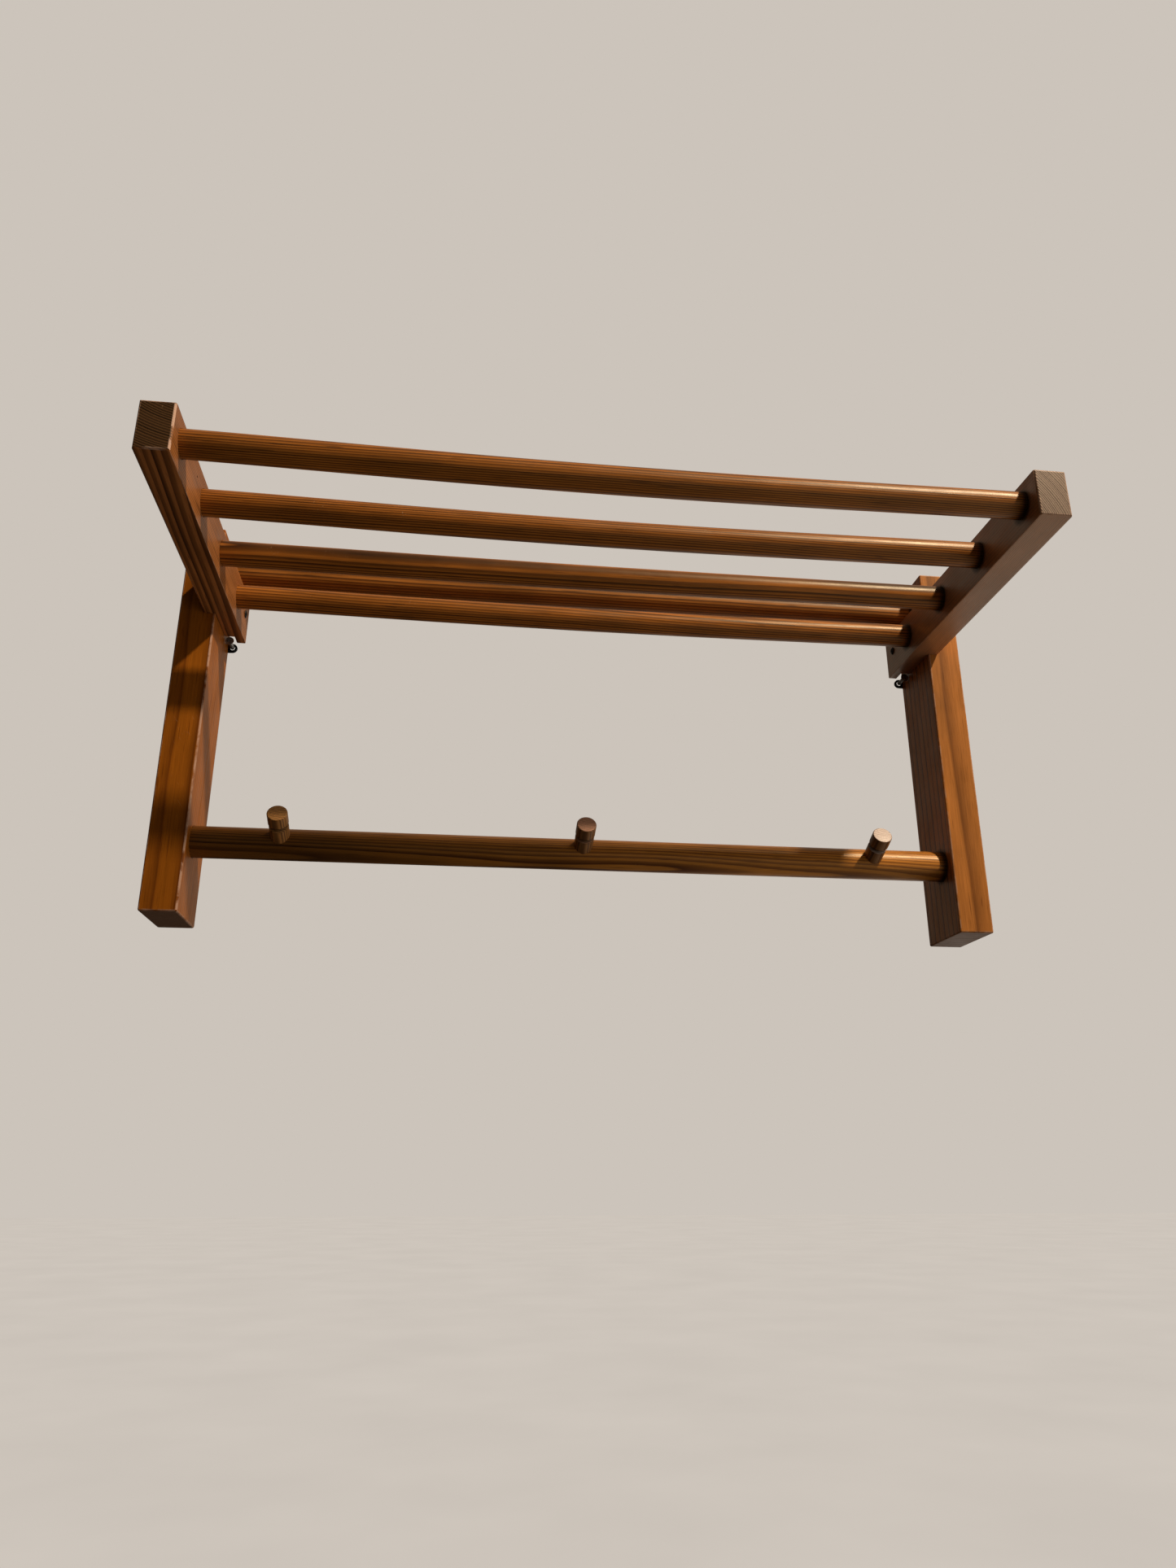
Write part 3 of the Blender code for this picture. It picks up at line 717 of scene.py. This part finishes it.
def eased_steel(node_name):
    """Cut steel strip with its sharp edges tumbled off."""
    mesh = mesh_from(node_name, merged_copy(node_name))
    sharp = math.radians(40)
    settings = {"width": 0.25 * MM, "segments": 2, "limit_method": "ANGLE", "angle_limit": sharp}
    return smoothed(finished_mesh(node_name, mesh, (("BEVEL", settings),)), crease=30)


# ---------------------------------------------------------------- stage


def area_light(name, place, target, size, power, colour):
    light = bpy.data.lights.new(name, "AREA")
    light.shape = "DISK"
    light.size = size
    light.energy = power
    light.color = linear(colour)[:3]
    made = bpy.data.objects.new(name, light)
    bpy.context.scene.collection.objects.link(made)
    made.location = place
    made.rotation_mode = "QUATERNION"
    made.rotation_quaternion = (Vector(place) - Vector(target)).to_track_quat("Z", "Y")


def pale_surface(name, tone, seen_tone):
    """A matt floor that looks pale and throws most of its light from the right, as a lit wall there would.

    It looks the same all over, but for faint patches 0.8 m across. The light that it throws grows from
    none at X = unlit_to to full at X = lit_from.
    """
    unlit_to = 0.2
    lit_from = 2.0
    made, tree, shader = new_material(name)
    place = add(tree, "ShaderNodeTexCoord").outputs["Object"]
    patch = cloud(tree, place, (1.2, 1.2, 1.2), 3.0).outputs["Fac"]
    pale = mix(tree, 1.0, linear(seen_tone), remap(tree, patch, 0.3, 0.7, 0.97, 1.02), "MULTIPLY")
    across = add(tree, "ShaderNodeSeparateXYZ", None, {0: place}).outputs[0]
    thrown = remap(tree, across, unlit_to, lit_from, 0.0, 1.0)
    seen = add(tree, "ShaderNodeLightPath").outputs["Is Camera Ray"]
    strength = maths(tree, "MULTIPLY_ADD", maths(tree, "SUBTRACT", 1.0, seen), thrown, seen)
    shader.inputs["Base Color"].default_value = linear(tone)
    shader.inputs["Roughness"].default_value = 0.9
    tree.links.new(pale, shader.inputs["Emission Color"])
    tree.links.new(strength, shader.inputs["Emission Strength"])
    return made


def make_stage():
    """A pale floor well below the rack, pale all round, and one lamp high on the right in front."""
    bm = bmesh.new()
    bmesh.ops.create_grid(bm, x_segments=1, y_segments=1, size=30.0)
    floor = bpy.data.objects.new("floor", mesh_from("floor", bm))
    floor.location = (0.0, 0.0, FLOOR_LEVEL)
    floor.data.materials.append(pale_surface("pale_floor", "34302C", "C9C1B8"))
    bpy.context.scene.collection.objects.link(floor)

    place, target = (1.30, -1.50, 2.20), (0.0, -0.12, 0.2)
    area_light("lamp", place, target, size=0.14, power=66.0, colour="FFEBD2")

    world = bpy.data.worlds.new("room")
    bpy.context.scene.world = world
    world.use_nodes = True
    tree = world.node_tree
    back = tree.nodes["Background"]
    direction = add(tree, "ShaderNodeTexCoord").outputs["Generated"]
    to_lit_side = vectors(tree, "DOT_PRODUCT", direction, LIT_SIDE)
    tree.links.new(remap(tree, to_lit_side, -0.2, 0.95, 0.08, 0.55), back.inputs["Strength"])
    back.inputs["Color"].default_value = linear("E2D2BE")
    seen = add(tree, "ShaderNodeBackground", None, {"Color": linear("CCC4BB"), "Strength": 1.0})
    path = add(tree, "ShaderNodeLightPath")
    inputs = {0: path.outputs["Is Camera Ray"], 1: back.outputs[0], 2: seen.outputs[0]}
    both = add(tree, "ShaderNodeMixShader", None, inputs)
    tree.links.new(both.outputs[0], tree.nodes["World Output"].inputs["Surface"])
    bpy.context.scene.view_settings.view_transform = "Standard"


def make_camera():
    data = bpy.data.cameras.new("camera")
    data.lens = CAMERA_LENS
    data.sensor_width = 36.0
    data.clip_start = 0.02
    camera = bpy.data.objects.new("camera", data)
    bpy.context.scene.collection.objects.link(camera)
    camera.location = CAMERA_PLACE
    camera.rotation_euler = [math.radians(angle) for angle in CAMERA_TURN]
    bpy.context.scene.camera = camera


# ---------------------------------------------------------------- the rack


def pith_from(centre, away_mm, direction):
    """A pith line's place: off a piece's centre by a distance in a direction."""
    return tuple(Vector(centre) + Vector(direction).normalized() * away_mm * MM)


def bar_seats(names, shoulder):
    """Where bars enter the right hand post or arm, which gets painted shade for the shadow that falls there;
    the left hand one has none.
    """
    return [((1, 1, 1), (shoulder, *middle(name).yz), reach(name).y / 2) for name in names]


def make_posts():
    left, right = middle("post_left"), middle("post_right")
    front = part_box("post_left")[0].y
    woods = {
        "left": {
            "pith": pith_from(left, 110, (-0.28, 1.0, 0.0)),
            "lean": (0.2, -0.5),
            "ring_mm": 4.2,
            "late_share": 0.14,
            "early": "AE6418",
            "late": "5E2A0C",
            "scuffs": ((Vector((left.x, front, CHIPS_HEIGHT)), CHIPS_RADIUS),),
            "scratch": (0.55, 0.0, -0.8),
            "shine": 0.12,
            "wave_mm": 2.5,
        },
        "right": {
            "pith": pith_from(right, 122.4, (0.35, 1.0, 0.0)),
            "lean": (0.3, -0.2),
            "ring_mm": 7.6,
            "late_share": 0.17,
            "shine": 0.2,
            "early": "C47C3A",
            "late": "502410",
            "wave_mm": 3.0,
            # Painted shade round the crossbar and the rail where they enter this post
            "seats": bar_seats(("rear_crossbar", "coat_rail"), POST_INNER),
        },
    }
    ends = {"end_early": "947058", "end_late": "4A3426"}
    for label, wood in woods.items():
        node = f"post_{label}"
        finish = stained_pine(f"post_pine_{label}", (0, 0, 1), **ends, **wood)
        mesh = planed_stick(node, (-POST_INNER, front), POST_ARRIS_WEAR_AND_HIGHLIGHT)
        keep_piece(f"{label}_post", flat_shaded(mesh), finish, "wall_frame", node)


def make_arms():
    left, right = middle("arm_left"), middle("arm_right")
    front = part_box("arm_left")[0].y
    woods = {
        "left": {
            "pith": pith_from(left, 75, (0.38, 0.0, 0.925)),
            "lean": (0.35, 0.3),
            "ring_mm": 1.9,
            "late_share": 0.52,
            "early": "B8743E",
            "late": "2E1405",
            "end_early": "62452A",
            "end_late": "040201",
            "shine": 0.12,
            "wave_mm": 1.2,
        },
        "right": {
            "pith": pith_from(right, 95, (-0.82, 0.0, -0.57)),
            "lean": (0.3, 0.4),
            "ring_mm": 1.6,
            "late_share": 0.40,
            # Paler and flatter than the left arm: painted light, for the bounce and reflection of a lit wall
            # on the underside
            "early": "B47E56",
            "late": "9C6A48",
            "shine": 0.7,
            "end_early": "8E7468",
            "end_late": "382A26",
            "wave_mm": 1.5,
            # Painted shade round the rods where they enter this arm
            "seats": bar_seats([f"shelf_rod_{number}" for number in (1, 2, 3, 4)], ARM_INNER),
        },
    }
    for label, wood in woods.items():
        node = f"arm_{label}"
        finish = stained_pine(f"arm_pine_{label}", (0, 1, 0), **wood)
        mesh = planed_stick(node, (-ARM_INNER, front), ARM_ARRIS_WEAR_AND_HIGHLIGHT)
        if label == "left":
            mesh = drilled(mesh, (-ARM_INNER, *NAIL_HOLE), (1, 0, 0), NAIL_RADIUS, NAIL_DEPTH)
        keep_piece(f"{label}_arm", flat_shaded(mesh), finish, "shelf", node)


def make_bars():
    tree = bar_tree()
    across_view = (0.0, 0.57, -0.82)
    rod_tones = {"early": "BA7028", "late": "2E1406", "late_share": 0.46}
    crossbar_tones = {"early": "B26E2A", "late": "3C1C0A", "gloss": 0.46, "shine": 0.4}
    # The rail's tones are raised pale and fall darker to its left end: painted light and painted shade, for
    # how the lamp falls along it
    rail_tones = {
        "early": "E4943A",
        "late": "5A240A",
        "late_share": 0.44,
        "painted_shade_left": 0.28,
        "gloss": 0.36,
    }
    woods = {
        "shelf_rod_1": (85, across_view, (0.25, 0.2), 1.70, 1.0, rod_tones),
        "shelf_rod_2": (80, (0.0, -0.45, 0.9), (0.2, 0.3), 1.75, 1.2, rod_tones),
        "shelf_rod_3": (34, (0.0, 0.95, -0.3), (0.2, 0.3), 2.3, 2.2, rod_tones),
        "shelf_rod_4": (46, (0.0, 0.5, -0.86), (-0.5, 0.5), 2.2, 3.0, rod_tones),
        "rear_crossbar": (60, across_view, (0.3, 0.3), 2.6, 2.0, crossbar_tones),
        "coat_rail": (40, (0.0, 0.45, 0.9), (0.6, 0.45), 2.1, 2.6, rail_tones),
    }
    for name, (away, direction, lean, ring_mm, wave_mm, tones) in woods.items():
        on_shelf = name.startswith("shelf")
        shoulder = ARM_INNER if on_shelf else POST_INNER
        axis = middle(name)
        skin = Vector((0.0, axis.y - reach(name).y / 2, axis.z))
        # A painted shadow over the bar's right end, where the arm or post on the right shades it
        shaded_end = ((1, 0, 0), (shoulder + BAR_END_PAST_SHOULDER, 0.0, 0.0), BAR_END_RADIUS)
        wood = {
            "pith": pith_from(axis, away, direction),
            "lean": lean,
            "ring_mm": ring_mm,
            "wave_mm": wave_mm,
            "seats": [shaded_end],
            "scuffs": [(skin + Vector((x, 0.0, 0.0)), DENT_RADIUS) for x in DENTS_AT.get(name, ())],
        }
        finish = stained_pine(f"{name}_pine", (1, 0, 0), **wood, **tones)
        body = "shelf" if on_shelf else "wall_frame"
        keep_piece(f"{name}_bar", round_bar(name, tree, shoulder, finish), finish, body, name)


def make_pegs():
    tilt = math.radians(PEG_TILT)
    grain = (0.0, -math.cos(tilt), math.sin(tilt))
    woods = {
        # The pegs' tones are raised pale as painted light, and the right peg's near white face is a painted
        # reflection of the lamp
        "left": {"ring_mm": 1.5, "end_early": "F0B068", "end_late": "6A3414", "early": "CC8C4C"},
        "middle": {"ring_mm": 1.5, "end_early": "E8B090", "end_late": "A87058", "early": "AC7644"},
        "right": {"ring_mm": 1.6, "end_early": "F2E2D8", "end_late": "C0A090", "early": "9A683C"},
    }
    for label, wood in woods.items():
        name = f"peg_{label}"
        pith = pith_from(middle(name), 40, (0.15, 0.4, 0.9))
        root = Vector((middle(name).x, *middle("coat_rail").yz))
        # Painted shade in the peg's groove
        seats = [((1, 1, 1), tuple(root + PEG_GROOVE_AT * Vector(grain)), GROOVE_SHADE_RADIUS)]
        finish = stained_pine(f"{name}_pine", grain, pith, late="3A1C0E", wave_mm=1.5, seats=seats, **wood)
        keep_piece(f"{name}_turned", peg_shape(name), finish, "wall_frame", name)


def make_screws():
    tree = thread_tree()
    steel = screw_steel("zinc_plated_steel")
    # The hinge screws are dark: painted shade, for the dark hole their heads sit in
    painted_shade_steel = screw_steel("screw_steel_painted_shade", "3A3430", 0.5)
    plain_shank = 0.02
    for label, side in SIDES.items():
        name = f"wall_screw_{label}"
        size = reach(name)
        head = (size.x / 2, WALL_SCREW_HEAD)
        length = size.y - head[1]
        place = middle(name)
        place.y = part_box(name)[0].y + head[1]
        mesh = screw_shape(
            name, tree, steel, place, (0, -1, 0), head, WIDE_SHANK, length, thread=plain_shank
        )
        keep_piece(f"{name}_threaded", mesh, steel, "wall_frame", name)

        name = f"hinge_screw_{label}"
        size = reach(name)
        head = (size.y / 2, SMALL_SCREW_HEAD)
        length = size.x - head[1]
        place = middle(name)
        place.x = side * (ARM_INNER - HINGE_HEAD_OFF)
        mesh = screw_shape(
            name, tree, painted_shade_steel, place, (-side, 0, 0), head, WIDE_SHANK, length, domed=True
        )
        keep_piece(f"{name}_threaded", mesh, painted_shade_steel, "shelf", name)

        for number in (1, 2):
            name = f"plate_screw_{label}_{number}"
            size = reach(name)
            head = (size.x / 2, SMALL_SCREW_HEAD)
            length = size.y - head[1]
            place = middle(name)
            place.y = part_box(name)[1].y - head[1]
            mesh = screw_shape(name, tree, steel, place, (0, 1, 0), head, NARROW_SHANK, length)
            keep_piece(f"{name}_threaded", mesh, steel, "wall_frame", name)


def make_ironwork():
    black_and_painted_shade = blackened_steel("blackened_steel")
    for label in SIDES:
        for kind, body in (("hinge_strap", "shelf"), ("hanger_plate", "wall_frame")):
            name = f"{kind}_{label}"
            # The hanger plates are dark as painted shade, standing for the shadow round the wall screws
            keep_piece(f"{name}_eased", eased_steel(name), black_and_painted_shade, body, name)


make_camera()
make_stage()
make_posts()
make_arms()
make_bars()
make_pegs()
make_screws()
make_ironwork()
